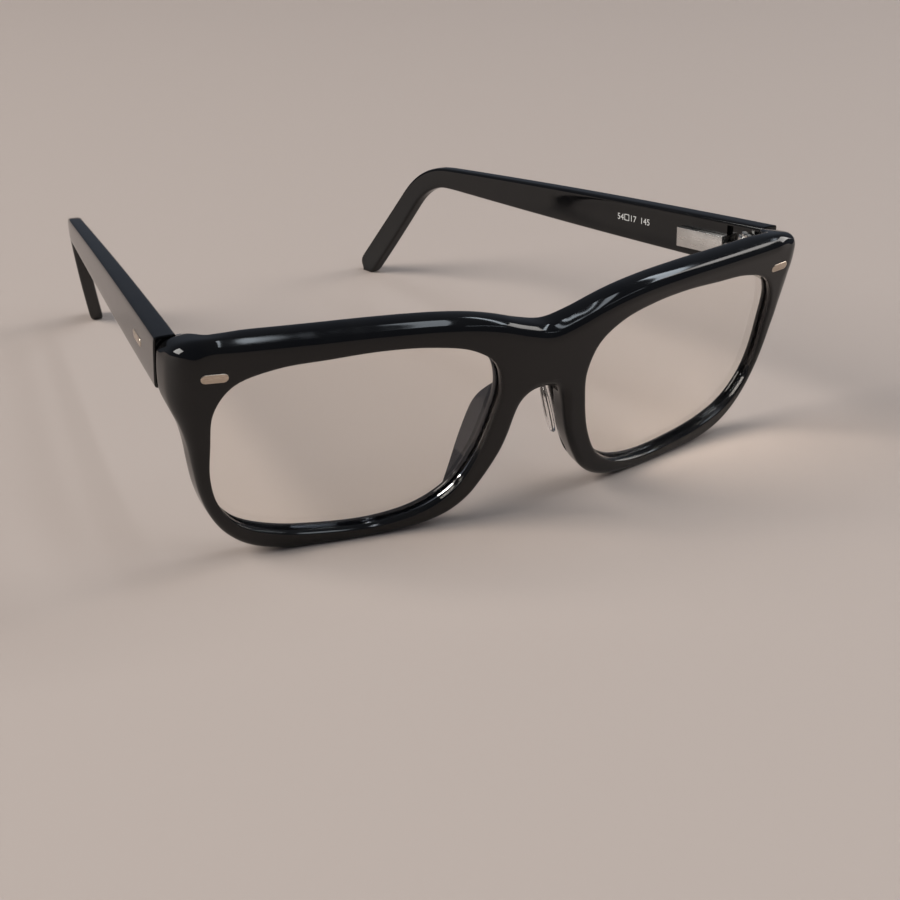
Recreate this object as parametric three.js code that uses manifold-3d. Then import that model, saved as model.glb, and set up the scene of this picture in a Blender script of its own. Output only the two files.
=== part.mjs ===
// Full-rim acetate glasses with clear blue-light lenses and sprung hinges.
// Millimetres, +X to the wearer's left, +Y back towards the ears, +Z up.
// The glasses stand open on their rims and temple tips, with the table at Z = 0.
import * as THREE from 'three';
import { mergeVertices } from 'three/addons/utils/BufferGeometryUtils.js';
import Module from 'manifold-3d';

const wasm = await Module();
wasm.setup();

// ---- driving dimensions -------------------------------------------------
const BRIDGE = 17;              // between the lenses, at their widest
const LENS_WIDTH = 54;          // a lens, edge to edge in its groove
const LENS_CENTRE_X = (BRIDGE + LENS_WIDTH) / 2;
const FRONT_LEAN = THREE.MathUtils.degToRad(10.17);
const FRONT_HEIGHT = 20.8;      // lens centres above the table
const FRONT_DEPTH = 4.8;        // acetate, front to back
const FRONT_ARC = 122;          // radius of the bridge's forward bow
const ARC_HALF_WIDTH = 22;      // the bow ends here and straight rims carry on
const HALF_WIDTH = 67.6;        // centre line to an end piece's outer side
const CORNER_RADIUS = 4.4;      // end piece, seen from above
const END_PIECE_WIDTH = 5.2;
const SEAM_Y = 18.6;            // where the end pieces meet the temples
const SEAM_GAP = 0.3;
const BROW_SLOPE_START = 9.5;
const ORIGIN_Y = 69.28;         // origin to the front, along the glasses

const LENS_FRONT = 1.5;         // lens face behind the frame's face
const LENS_THICKNESS = 2;
const LENS_OVERLAP = 0.8;       // lens edge inside the rim
const GROOVE_CLEARANCE = 0.25;

const PIVOT = new THREE.Vector3(62.2, 18.2, 37.8);
const TEMPLE_TOE_IN = THREE.MathUtils.degToRad(9.81);
const TEMPLE_OUTER_X = 5.25;    // outer face, outboard of the hinge axis
const TEMPLE_THICKNESS = 4.2;
const TEMPLE_TIP_THICKNESS = 3.2;
const TEMPLE_SLOPE = THREE.MathUtils.degToRad(4.44);
const BLADE_SLOPE = TEMPLE_SLOPE + FRONT_LEAN;    // seen from the hinge, which leans too
const BEND_START = 97.9;        // from the hinge axis, along the temple
const BEND_RADIUS = 16;
const BEND_ANGLE = THREE.MathUtils.degToRad(53.9);
const HOOK_LENGTH = 27.4;       // after the bend, to the end of the tip
const HOOK_TOE_IN = 6.2;        // how far the tip leans in
const BLADE_HEIGHT_FRONT = 9.8;
const BLADE_HEIGHT_BEND = 5.1;
const BLADE_HEIGHT_HOOK = 5.8;

const KNUCKLE_RADIUS = 1.7;
const KNUCKLE_HEIGHT = 2;
const KNUCKLE_GAP = 0.12;
const SCREW_RADIUS = 0.65;
const SCREW_HOLE_RADIUS = 0.72;
const ROD_X = 1;                // the sprung rod, outboard of the hinge axis
const ROD_RADIUS = 0.4;
const BORE_RADIUS = 0.95;
const HOUSING_START = 5.4;
const HOUSING_LENGTH = 12.4;
const HOUSING_HEIGHT = 4.1;
const HOUSING_INNER_X = -0.35;
const HOUSING_OUTER_X = 2.35;
const SPRING_START = 6.7;
const STOP_START = 13;
const STOP_LENGTH = 0.8;
const FIT_GAP = 0.3;            // between pieces that are let into each other

// ---- finishes -----------------------------------------------------------
const finish = (color, roughness, metalness = 0) =>
  new THREE.MeshStandardMaterial({ color, roughness, metalness });
const blackAcetate = finish(0x0b0b0d, 0.08);
const satinSteel = finish(0xb9b6b0, 0.35, 1);
const champagneMetal = finish(0xb39a80, 0.3, 1);
const springSteel = finish(0x8d8f92, 0.25, 1);
const silicone = finish(0xe8e6e0, 0.3);
const lensGlass = finish(0xefe6d8, 0.02);
lensGlass.transparent = true;
lensGlass.opacity = 0.3;

// ---- solids -------------------------------------------------------------
function solid(geometry) {
  const plain = geometry.clone();
  plain.deleteAttribute('normal');
  plain.deleteAttribute('uv');
  const merged = mergeVertices(plain, 1e-4);
  return new wasm.Manifold(new wasm.Mesh({
    numProp: 3,
    vertProperties: new Float32Array(merged.attributes.position.array),
    triVerts: new Uint32Array(merged.index.array),
  }));
}

function geometryOf(manifold) {
  const mesh = manifold.getMesh();
  const geometry = new THREE.BufferGeometry();
  geometry.setAttribute('position', new THREE.BufferAttribute(mesh.vertProperties, 3));
  geometry.setIndex(new THREE.BufferAttribute(mesh.triVerts, 1));
  return geometry;
}

// A box from one corner to the opposite one.
function box(low, high) {
  const size = high.map((value, axis) => value - low[axis]);
  const geometry = new THREE.BoxGeometry(...size);
  return geometry.translate(...low.map((value, axis) => value + size[axis] / 2));
}

// A prism with its section in two axes and its length along the third.
function prism(points, basis, length, start) {
  const shape = new THREE.Shape(points.map(([u, v]) => new THREE.Vector2(u, v)));
  const geometry = new THREE.ExtrudeGeometry(shape, { depth: length, bevelEnabled: false });
  return geometry.applyMatrix4(basis.clone().setPosition(...start));
}
const X = new THREE.Vector3(1, 0, 0);
const Y = new THREE.Vector3(0, 1, 0);
const Z = new THREE.Vector3(0, 0, 1);
const fromFront = new THREE.Matrix4().makeBasis(X, Z, Y.clone().negate());
const fromAbove = new THREE.Matrix4().makeBasis(X, Y, Z);
const fromSide = new THREE.Matrix4().makeBasis(Y, Z, X);

// The section is drawn in X and Z, and the prism runs from y0 to y1.
const alongY = (points, y0, y1) => prism(points, fromFront, y1 - y0, [0, y1, 0]);
const alongZ = (points, z0, z1) => prism(points, fromAbove, z1 - z0, [0, 0, z0]);
const alongX = (points, x0, x1) => prism(points, fromSide, x1 - x0, [x0, 0, 0]);

// An upright round bar between two heights.
function post(radius, z0, z1, sides = 20) {
  const geometry = new THREE.CylinderGeometry(radius, radius, z1 - z0, sides);
  return geometry.rotateX(Math.PI / 2).translate(0, 0, (z0 + z1) / 2);
}

// A round bar along Y.
function rod(radius, y0, y1, x = 0, sides = 16) {
  const geometry = new THREE.CylinderGeometry(radius, radius, y1 - y0, sides);
  return geometry.translate(x, (y0 + y1) / 2, 0);
}

// A smooth closed outline through a few points.
function smoothOutline(points, count) {
  const curve = new THREE.CatmullRomCurve3(
    points.map(([x, z]) => new THREE.Vector3(x, 0, z)), true, 'centripetal');
  return curve.getPoints(count).slice(0, -1).map((p) => [p.x, p.z]);
}

// An outline moved out from its own middle by a fixed distance.
function grown(outline, distance) {
  const last = outline.length - 1;
  return outline.map(([x, z], i) => {
    const before = outline[i === 0 ? last : i - 1];
    const after = outline[i === last ? 0 : i + 1];
    const along = new THREE.Vector2(after[0] - before[0], after[1] - before[1]).normalize();
    return [x + along.y * distance, z - along.x * distance];
  });
}

// A slot outline: two half circles joined by straight sides.
function slot(length, height, steps = 8) {
  const points = [];
  for (const end of [1, -1]) {
    for (let i = 0; i <= steps; i += 1) {
      const turn = Math.PI * (i / steps - 0.5);
      points.push([
        end * ((length - height) / 2 + Math.cos(turn) * height / 2),
        end * Math.sin(turn) * height / 2,
      ]);
    }
  }
  return points;
}

// The same piece for the other side of the face.
function mirrored(geometry) {
  const copy = geometry.clone().scale(-1, 1, 1);
  const index = Array.from(copy.index.array);
  for (let i = 0; i < index.length; i += 3) {
    [index[i], index[i + 1]] = [index[i + 1], index[i]];
  }
  copy.setIndex(index);
  return copy;
}

function piece(name, manifold, material, side = 1) {
  const geometry = geometryOf(manifold);
  const mesh = new THREE.Mesh(side > 0 ? geometry : mirrored(geometry), material);
  mesh.name = name;
  return mesh;
}

// ---- where the front and the temples stand ------------------------------
const frontPlace = new THREE.Matrix4().makeRotationX(FRONT_LEAN).setPosition(0, 0, FRONT_HEIGHT);
const hingePlace = new THREE.Matrix4().makeRotationZ(TEMPLE_TOE_IN)
  .multiply(new THREE.Matrix4().makeRotationX(FRONT_LEAN)).setPosition(PIVOT);
const frontToHinge = hingePlace.clone().invert().multiply(frontPlace);
const hingeToFront = frontToHinge.clone().invert();
const slopeDown = new THREE.Matrix4().makeRotationX(-BLADE_SLOPE);

// ---- front frame --------------------------------------------------------
const RIM_SLOPE = ARC_HALF_WIDTH / FRONT_ARC;

// How far back the frame's face is at x.
function faceY(x) {
  const reach = Math.abs(x);
  const bow = Math.min(reach, ARC_HALF_WIDTH) ** 2 / (2 * FRONT_ARC);
  return bow + Math.max(0, reach - ARC_HALF_WIDTH) * RIM_SLOPE;
}

// The bowed slab between two depths behind the face, seen from above.
function slabPlan(front, back, reach) {
  const across = [];
  for (let x = -reach; x <= reach; x += reach / 20) across.push(x);
  const face = across.map((x) => [x, faceY(x) + front]);
  return face.concat(across.map((x) => [x, faceY(x) + back]).reverse());
}

// The whole front seen from above: face, rounded corners and end pieces.
function frontPlan() {
  const half = [[0, faceY(0)]];
  for (let x = 4; x < HALF_WIDTH - CORNER_RADIUS; x += 4) half.push([x, faceY(x)]);
  const corner = [HALF_WIDTH - CORNER_RADIUS, faceY(HALF_WIDTH - CORNER_RADIUS) + CORNER_RADIUS];
  const steps = 6;
  for (let i = 0; i <= steps; i += 1) {
    const turn = (i / steps) * Math.PI / 2;
    half.push([
      corner[0] + Math.sin(turn) * CORNER_RADIUS,
      corner[1] - Math.cos(turn) * CORNER_RADIUS,
    ]);
  }
  const inner = HALF_WIDTH - END_PIECE_WIDTH;
  half.push([HALF_WIDTH, SEAM_Y - SEAM_GAP / 2], [inner, SEAM_Y - SEAM_GAP / 2]);
  for (let x = inner; x > 0; x -= 4) half.push([x, faceY(x) + FRONT_DEPTH]);
  half.push([0, FRONT_DEPTH]);
  const other = half.slice(1, -1).map(([x, y]) => [-x, y]).reverse();
  return half.concat(other);
}

const halfFrontOutline = [
  [0, 18.3], [5, 19.4], [10, 21], [15, 22.1], [21, 22.7], [32, 22.8], [45, 22.5], [57, 22.3],
  [64, 22.3], [66.8, 21.4], [67.7, 18.6], [67.7, 12], [67.2, 9], [65.8, 5.4], [64.8, 1.5],
  [64, -3], [62.9, -8], [61, -13], [58.2, -17.2], [54.2, -20.3], [48.5, -22], [41, -22.3],
  [33.5, -22.2], [26.5, -21.6], [21, -20.6], [16.3, -18.7], [12.8, -15.8], [10.6, -12.6],
  [8.9, -9.6], [7.3, -6.2], [6.1, -2.4], [5.3, 0.9], [4.2, 3.6], [2.4, 5.1], [0, 5.5],
];
const frontOutline = smoothOutline(
  halfFrontOutline.concat(halfFrontOutline.slice(1, -1).map(([x, z]) => [-x, z]).reverse()), 150);

const openingOutline = smoothOutline([
  [25.9, 2], [25.5, 9.1], [22.4, 13.9], [15.4, 16.5], [6.5, 17.4], [-2.5, 18.1], [-11.4, 17.9],
  [-18.9, 16.5], [-24, 13.1], [-26, 7.3], [-25, 0], [-22.9, -7], [-19.3, -13.2],
  [-13.5, -17.3], [-5.5, -19.3], [4.5, -19.3], [13.5, -18.1], [20.1, -15.4], [24.1, -10.6],
  [25.7, -5],
].map(([x, z]) => [LENS_CENTRE_X + x, z]), 64);

const halfLens = LENS_THICKNESS / 2 + GROOVE_CLEARANCE;
const lensMiddle = LENS_FRONT + LENS_THICKNESS / 2;
const lensReach = 66;
const lensSlab = solid(alongZ(slabPlan(LENS_FRONT, LENS_FRONT + LENS_THICKNESS, lensReach), -25, 25));
const grooveSlab = solid(alongZ(slabPlan(lensMiddle - halfLens, lensMiddle + halfLens, lensReach), -25, 25));
const lensPrism = (growth) => solid(alongY(grown(openingOutline, growth), -5, 25));
const lens = lensSlab.intersect(lensPrism(LENS_OVERLAP));

// Everything below the table top, in a leaning group's own frame.
const underTable = (place) => solid(box([-90, -20, -20], [90, 160, 0])
  .applyMatrix4(place.clone().invert()));

// A flat inlay let into the end piece's face, which slopes back at this point.
const INLAY = { x: 61.2, z: 16, length: 4.6, height: 1.7, depth: 0.8, proud: 0.1 };
function inlayAt(growth) {
  const outline = slot(INLAY.length + 2 * growth, INLAY.height + 2 * growth);
  return solid(alongY(outline, -INLAY.proud, INLAY.depth + growth)
    .rotateZ(Math.atan(RIM_SLOPE)).translate(INLAY.x, faceY(INLAY.x), INLAY.z));
}

// ---- front hinge half ---------------------------------------------------
const knuckleStart = KNUCKLE_HEIGHT / 2 + KNUCKLE_GAP;
const knuckleEnd = knuckleStart + KNUCKLE_HEIGHT;
const LEAF = { inner: -1.6, outer: -0.3, front: -8, height: 6 };

function leaf(growth) {
  return solid(box([LEAF.inner - growth, LEAF.front - growth, -LEAF.height / 2 - growth],
    [LEAF.outer + growth, 0, LEAF.height / 2 + growth]));
}

function frontHinge() {
  const upper = solid(post(KNUCKLE_RADIUS, knuckleStart, knuckleEnd));
  const lower = solid(post(KNUCKLE_RADIUS, -knuckleEnd, -knuckleStart));
  const sliderRoom = solid(post(KNUCKLE_RADIUS + FIT_GAP, -knuckleStart, knuckleStart));
  const hole = solid(post(SCREW_HOLE_RADIUS, -5, 5));
  return leaf(0).add(upper).add(lower).subtract(sliderRoom).subtract(hole);
}

// Seen from the side, the brow slopes down to meet the temples, and only the end pieces
// reach back as far as the seam.
const browProfile = [[-10, -30], [30, -30], [30, 15.9], [BROW_SLOPE_START, 22.8], [-10, 24]];
const endPieceProfile = [[0, 1], [9, 3], [14.6, 8.4], [SEAM_Y, 9.6], [30, 9.6], [30, 30], [0, 30]];

function frontFrame() {
  let frame = solid(alongZ(frontPlan(), -26, 26)).intersect(solid(alongY(frontOutline, -5, 25)));
  const behindRims = solid(alongZ(slabPlan(FRONT_DEPTH, 40, 72), -30, 30))
    .subtract(solid(alongX(endPieceProfile, -75, 75)));
  frame = frame.intersect(solid(alongX(browProfile, -75, 75))).subtract(behindRims);
  const leafPocket = leaf(FIT_GAP).transform(hingeToFront.elements);
  const cuts = [
    lensPrism(0),
    lensPrism(LENS_OVERLAP + GROOVE_CLEARANCE).intersect(grooveSlab),
    inlayAt(FIT_GAP),
    leafPocket,
  ];
  for (const cut of cuts) frame = frame.subtract(cut).subtract(cut.mirror([1, 0, 0]));
  return frame.subtract(underTable(frontPlace));
}

// ---- nose pads ----------------------------------------------------------
const PAD = { start: FRONT_DEPTH + FIT_GAP, back: 11.6, width: 2.6, splay: 0.42, slope: 0.38 };
const PAD_TOP = [3.9, 3.5];     // x and z of the pad's top, at the back of the rim

// A block that leans out as it goes back, as the sides of a nose do.
const splayed = new THREE.Matrix4().set(
  1, PAD.splay, 0, -PAD.splay * PAD.start,
  0, 1, 0, 0,
  0, 0, 1, 0,
  0, 0, 0, 1);

function nosePad() {
  const low = -19;
  const reach = (PAD_TOP[1] - low) * PAD.slope;
  const band = alongY([
    [PAD_TOP[0] + reach, low], [PAD_TOP[0] + reach + PAD.width, low],
    [PAD_TOP[0] + PAD.width, PAD_TOP[1]], PAD_TOP,
  ], PAD.start, PAD.back);
  const profile = [[0, 3.4], [PAD.start, 3.4], [8.2, 2.4], [10.6, -0.4], [PAD.back, -4.5],
    [PAD.back - 0.1, -9], [10.1, -13], [8.2, -15.4], [PAD.start, -16.6], [0, -16.6]];
  const frameRoom = solid(alongZ(slabPlan(-2, FRONT_DEPTH + FIT_GAP, 40), -25, 25));
  return solid(band.applyMatrix4(splayed)).intersect(solid(alongX(profile, 0, 30)))
    .subtract(frameRoom);
}

// A thin oval of silicone lying on the pad's nose side.
const CUSHION = { length: 13.5, width: 6, thickness: 1.6, y: 7.9, z: -5.5, gap: 0.12 };
function noseCushion() {
  const down = new THREE.Vector3(PAD.slope, 0, -1).normalize();
  const back = new THREE.Vector3(PAD.splay, 1, 0).normalize();
  const outwards = new THREE.Vector3().crossVectors(back, down).normalize();
  const across = new THREE.Vector3().crossVectors(down, outwards);
  const place = new THREE.Matrix4().makeBasis(down, outwards, across);
  const x = PAD_TOP[0] + (PAD_TOP[1] - CUSHION.z) * PAD.slope + (CUSHION.y - PAD.start) * PAD.splay;
  const oval = new THREE.CylinderGeometry(1, 0.82, CUSHION.thickness, 28, 1)
    .scale(CUSHION.length / 2, 1, CUSHION.width / 2);
  const side = outwards.x < 0 ? 1 : -1;
  oval.translate(0, side * (CUSHION.thickness / 2 + CUSHION.gap), 0);
  return solid(oval.applyMatrix4(place.setPosition(x, CUSHION.y, CUSHION.z)));
}

// ---- temple -------------------------------------------------------------
const HOOK_START = BEND_START + BEND_RADIUS * BEND_ANGLE;
const TEMPLE_END = HOOK_START + HOOK_LENGTH;
const HINGE_RISE = 0.5;         // the blade's middle above the hinge's middle

// A point of the blade's middle line, a distance along it from the hinge axis.
function middle(distance) {
  const straight = Math.min(distance, BEND_START);
  const turned = Math.min(Math.max(0, distance - BEND_START), BEND_RADIUS * BEND_ANGLE);
  const heading = BLADE_SLOPE + turned / BEND_RADIUS;
  const beyond = Math.max(0, distance - HOOK_START);
  return {
    heading,
    y: straight * Math.cos(BLADE_SLOPE) + beyond * Math.cos(heading)
      + BEND_RADIUS * (Math.sin(heading) - Math.sin(BLADE_SLOPE)),
    z: HINGE_RISE - straight * Math.sin(BLADE_SLOPE) - beyond * Math.sin(heading)
      - BEND_RADIUS * (Math.cos(BLADE_SLOPE) - Math.cos(heading)),
  };
}

// Half the blade's height: it narrows to the bend, widens to the hook and ends round.
function halfHeight(distance) {
  const toBend = THREE.MathUtils.clamp(distance / BEND_START, -1, 1);
  const toHook = THREE.MathUtils.smoothstep(distance, BEND_START, TEMPLE_END - 6);
  const height = BLADE_HEIGHT_FRONT + (BLADE_HEIGHT_BEND - BLADE_HEIGHT_FRONT) * toBend
    + (BLADE_HEIGHT_HOOK - BLADE_HEIGHT_BEND) * toHook;
  const radius = BLADE_HEIGHT_HOOK / 2;
  const intoTip = Math.max(0, distance - (TEMPLE_END - radius)) / radius;
  return height / 2 * Math.sqrt(1 - Math.min(0.99, intoTip * intoTip));
}

// Lays a straight piece, drawn along Y, on the blade: bent, thinned and toed in.
function laidOnBlade(geometry) {
  const position = geometry.attributes.position;
  for (let i = 0; i < position.count; i += 1) {
    const distance = position.getY(i);
    const height = position.getZ(i);
    const line = middle(distance);
    const share = THREE.MathUtils.clamp(distance / BEND_START, 0, 1);
    const thickness = 1 - (1 - TEMPLE_TIP_THICKNESS / TEMPLE_THICKNESS) * share;
    const intoHook = Math.max(0, distance - BEND_START) / (TEMPLE_END - BEND_START);
    position.setXYZ(i,
      TEMPLE_OUTER_X - (TEMPLE_OUTER_X - position.getX(i)) * thickness
        - HOOK_TOE_IN * intoHook ** 1.3,
      line.y + height * Math.sin(line.heading),
      line.z + height * Math.cos(line.heading));
  }
  return geometry;
}

// Distances along the blade where its outline needs a point.
function bladeStations() {
  const stations = [-8, 0, 25, 50, 75];
  const bendSteps = 20;
  const tipStart = TEMPLE_END - BLADE_HEIGHT_HOOK / 2;
  for (let i = 0; i < bendSteps; i += 1) {
    stations.push(BEND_START + (tipStart - BEND_START) * i / bendSteps);
  }
  const tipSteps = 8;
  for (let i = 0; i <= tipSteps; i += 1) {
    stations.push(tipStart + BLADE_HEIGHT_HOOK / 2 * Math.sin(i / tipSteps * Math.PI / 2));
  }
  return stations;
}

function templeBlade() {
  const stations = bladeStations();
  const bar = new THREE.BoxGeometry(TEMPLE_THICKNESS, 1, 1, 1, stations.length - 1, 1);
  const position = bar.attributes.position;
  for (let i = 0; i < position.count; i += 1) {
    const row = Math.round((position.getY(i) + 0.5) * (stations.length - 1));
    position.setXYZ(i,
      position.getX(i) + TEMPLE_OUTER_X - TEMPLE_THICKNESS / 2,
      stations[row],
      Math.sign(position.getZ(i)) * halfHeight(stations[row]));
  }
  return solid(laidOnBlade(bar));
}

// A round bar inside the blade, between two distances along it.
function coreBar(radius, start, end) {
  const middleX = TEMPLE_OUTER_X - TEMPLE_THICKNESS / 2;
  const bar = new THREE.CylinderGeometry(radius, radius, end - start, 8, 34);
  return solid(laidOnBlade(bar.translate(middleX, (start + end) / 2, 0)));
}

const WIRE = { radius: 0.6, start: 19, end: TEMPLE_END - 7 };
const TEMPLE_INLAY = { y: 12, length: 7, height: 1.7, depth: 0.6, proud: 0.1 };

function templeInlay(growth) {
  const outline = slot(TEMPLE_INLAY.length + 2 * growth, TEMPLE_INLAY.height + 2 * growth);
  const outer = TEMPLE_OUTER_X + TEMPLE_INLAY.proud;
  const inner = TEMPLE_OUTER_X - TEMPLE_INLAY.depth - growth;
  return solid(alongX(outline, inner, outer).applyMatrix4(slopeDown)
    .translate(0, middle(TEMPLE_INLAY.y).y, middle(TEMPLE_INLAY.y).z));
}

// Everything forward of the seam, in the hinge's frame.
const beyondSeam = solid(box([40, -10, -60], [90, SEAM_Y + SEAM_GAP / 2, 60])
  .applyMatrix4(frontToHinge));

const HOUSING_END = HOUSING_START + HOUSING_LENGTH;
function housingBlock(growth) {
  return solid(box([HOUSING_INNER_X - growth, HOUSING_START - growth, -HOUSING_HEIGHT / 2 - growth],
    [HOUSING_OUTER_X + growth, HOUSING_END + growth, HOUSING_HEIGHT / 2 + growth])
    .applyMatrix4(slopeDown));
}

function temple() {
  const hingeRoom = solid(box([-4, -8, -3.8], [2.15, HOUSING_START, 4.3]).applyMatrix4(slopeDown));
  const cuts = [
    beyondSeam,
    hingeRoom,
    housingBlock(FIT_GAP),
    coreBar(WIRE.radius + FIT_GAP, WIRE.start - 2, WIRE.end + 0.5),
    templeInlay(FIT_GAP),
    underTable(hingePlace),
  ];
  let blade = templeBlade();
  for (const cut of cuts) blade = blade.subtract(cut);
  return blade;
}

// ---- spring hinge -------------------------------------------------------
function springHousing() {
  const bore = solid(rod(BORE_RADIUS, SPRING_START, HOUSING_END - 0.7, ROD_X)
    .applyMatrix4(slopeDown));
  const mouth = solid(rod(ROD_RADIUS + 0.15, HOUSING_START - 1, HOUSING_END - 2, ROD_X)
    .applyMatrix4(slopeDown));
  return housingBlock(0).subtract(bore).subtract(mouth);
}

function hingeSlider() {
  const eyelet = solid(post(KNUCKLE_RADIUS, -KNUCKLE_HEIGHT / 2, KNUCKLE_HEIGHT / 2));
  const neck = solid(box([0.2, 0.9, -0.6], [1.8, HOUSING_START - 0.4, 0.7]).applyMatrix4(slopeDown));
  const shaft = solid(rod(ROD_RADIUS, HOUSING_START - 1, STOP_START + STOP_LENGTH + 0.3, ROD_X)
    .applyMatrix4(slopeDown));
  const hole = solid(post(SCREW_HOLE_RADIUS, -3, 3));
  return eyelet.add(neck).subtract(hole).add(shaft);
}

function springStop() {
  const collar = solid(rod(BORE_RADIUS - 0.12, STOP_START, STOP_START + STOP_LENGTH, ROD_X));
  const hole = solid(rod(ROD_RADIUS + 0.06, STOP_START - 1, STOP_START + 2, ROD_X));
  return collar.subtract(hole).transform(slopeDown.elements);
}

const SPRING = { turns: 8, radius: 0.68, wire: 0.13, start: SPRING_START + 0.2 };
SPRING.length = STOP_START - SPRING.start - 0.2;

class SpringLine extends THREE.Curve {
  getPoint(share, target = new THREE.Vector3()) {
    const turn = share * SPRING.turns * Math.PI * 2;
    return target.set(ROD_X + Math.cos(turn) * SPRING.radius,
      SPRING.start + share * SPRING.length, Math.sin(turn) * SPRING.radius);
  }
}
function flexSpring() {
  const section = new THREE.Shape();
  section.absarc(0, 0, SPRING.wire, 0, Math.PI * 2);
  return solid(new THREE.ExtrudeGeometry(section, {
    extrudePath: new SpringLine(), steps: SPRING.turns * 11, curveSegments: 3, bevelEnabled: false,
  }).applyMatrix4(slopeDown));
}

function hingeScrew() {
  const head = solid(post(1.15, knuckleEnd + 0.06, knuckleEnd + 0.76));
  const shank = solid(post(SCREW_RADIUS, -knuckleEnd, knuckleEnd + 0.4));
  const drive = solid(box([-2, -0.15, knuckleEnd + 0.5], [2, 0.15, knuckleEnd + 1]));
  return head.add(shank).subtract(drive);
}

// ---- the whole pair -----------------------------------------------------
const glasses = new THREE.Group();
glasses.position.y = -ORIGIN_Y;

const front = new THREE.Group();
front.applyMatrix4(frontPlace);
front.add(piece('front_frame', frontFrame(), blackAcetate));
glasses.add(front);

for (const [name, side] of [['left', 1], ['right', -1]]) {
  front.add(
    piece(`lens_${name}`, lens, lensGlass, side),
    piece(`nose_pad_${name}`, nosePad(), blackAcetate, side),
    piece(`nose_cushion_${name}`, noseCushion(), silicone, side),
    piece(`front_inlay_${name}`, inlayAt(0), champagneMetal, side),
  );
  const hinge = new THREE.Group();
  hinge.position.set(side * PIVOT.x, PIVOT.y, PIVOT.z);
  hinge.rotation.set(FRONT_LEAN, 0, side * TEMPLE_TOE_IN, 'ZYX');
  hinge.add(
    piece(`front_hinge_${name}`, frontHinge(), satinSteel, side),
    piece(`hinge_screw_${name}`, hingeScrew(), satinSteel, side),
    piece(`hinge_slider_${name}`, hingeSlider(), satinSteel, side),
    piece(`spring_stop_${name}`, springStop(), satinSteel, side),
    piece(`flex_spring_${name}`, flexSpring(), springSteel, side),
    piece(`spring_housing_${name}`, springHousing(), satinSteel, side),
    piece(`temple_${name}`, temple(), blackAcetate, side),
    piece(`core_wire_${name}`, coreBar(WIRE.radius, WIRE.start, WIRE.end), springSteel, side),
    piece(`temple_inlay_${name}`, templeInlay(0), champagneMetal, side),
  );
  glasses.add(hinge);
}

export default glasses;
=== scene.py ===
"""Blue light glasses: a black acetate front, clear lenses and side arms on sprung hinges."""
import math

import bmesh
import bpy
from mathutils import Matrix, Vector
from mathutils.kdtree import KDTree


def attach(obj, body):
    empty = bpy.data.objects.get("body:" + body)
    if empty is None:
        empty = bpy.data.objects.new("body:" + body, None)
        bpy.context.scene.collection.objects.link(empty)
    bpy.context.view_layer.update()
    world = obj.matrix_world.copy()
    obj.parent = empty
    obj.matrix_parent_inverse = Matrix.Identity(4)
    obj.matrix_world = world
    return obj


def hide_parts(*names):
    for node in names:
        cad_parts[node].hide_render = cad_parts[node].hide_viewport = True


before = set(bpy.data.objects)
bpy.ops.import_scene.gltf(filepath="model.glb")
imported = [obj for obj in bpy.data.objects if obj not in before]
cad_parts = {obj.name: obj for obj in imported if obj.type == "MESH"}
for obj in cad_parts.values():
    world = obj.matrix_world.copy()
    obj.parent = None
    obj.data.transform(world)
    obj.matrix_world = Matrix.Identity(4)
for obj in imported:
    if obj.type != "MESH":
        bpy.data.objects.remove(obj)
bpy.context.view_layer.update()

# ---- the front ------------------------------------------------------------
# One slab of black acetate, milled to shape and then tumbled and polished
# until every edge is round. It bows forward at the bridge, and its two end
# pieces reach back to the side arms.
MILLIMETRE = 0.001
LEAN = math.radians(10.17)      # the front leans back as the glasses stand
LENS_CENTRE = 35.5              # from the middle of the bridge to a lens's middle
BOW_RADIUS = 122
BOW_HALF_WIDTH = 22
RIM_DEPTH = 4.8
BROW_EXTRA = 0.7                # how much deeper the brow is than the rest of the rims
SEAM = 18.45                    # where the end pieces stop, behind the bridge's face
END_INNER = 62.4                # inner side of the end piece
END_BOTTOM, END_TOP = 9.6, 19.6
EDGE_RADIUS = 1.3               # of the outer edge below; it is fuller on the brow
BROW_FULLER, END_FULLER = 1.5, 1.6
OPENING_EDGE = 0.8              # how far the openings' rounding runs onto each face
BACK_EDGE = 0.6                 # rounding of the outer edge at the back
GROOVE_FRONT, GROOVE_BACK, GROOVE_DEPTH = 1.4, 3.6, 1.0
FACE_TO_MIDDLE = 69.28          # from the bridge's face to the middle of the whole pair
FRONT_RISE = 20.8               # from the table to the middle of the front
OUTER_PLACES, MIDDLE_PLACES = 170, 16
outline_points = [
    (0, 18.3), (5, 19.4), (10, 21), (15, 22.1), (21, 22.7), (32, 22.8), (45, 22.5), (57, 22.3),
    (64, 22.3), (66.8, 21.4), (67.7, 18.6), (67.7, 12), (67.2, 9), (65.8, 5.4), (64.8, 1.5),
    (64, -3), (62.9, -8), (61, -13), (58.2, -17.2), (54.2, -20.3), (48.5, -22), (41, -22.3),
    (33.5, -22.2), (26.5, -21.6), (21, -20.6), (16.3, -18.7), (12.8, -15.8), (10.6, -12.6),
    (8.9, -9.6), (7.3, -6.2), (6.1, -2.4), (5.3, 0.9), (4.2, 3.6), (2.4, 5.1), (0, 5.5)]
opening_points = [
    (25.9, 2), (25.5, 9.1), (22.4, 13.9), (15.4, 16.5), (6.5, 17.4), (-2.5, 18.1),
    (-11.4, 17.9), (-18.9, 16.5), (-24, 13.1), (-26, 7.3), (-25, 0), (-22.9, -7),
    (-19.3, -13.2), (-13.5, -17.3), (-5.5, -19.3), (4.5, -19.3), (13.5, -18.1),
    (20.1, -15.4), (24.1, -10.6), (25.7, -5)]

front_place = (Matrix.Scale(MILLIMETRE, 4) @ Matrix.Translation((0, -FACE_TO_MIDDLE, FRONT_RISE))
               @ Matrix.Rotation(LEAN, 4, "X"))


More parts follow.
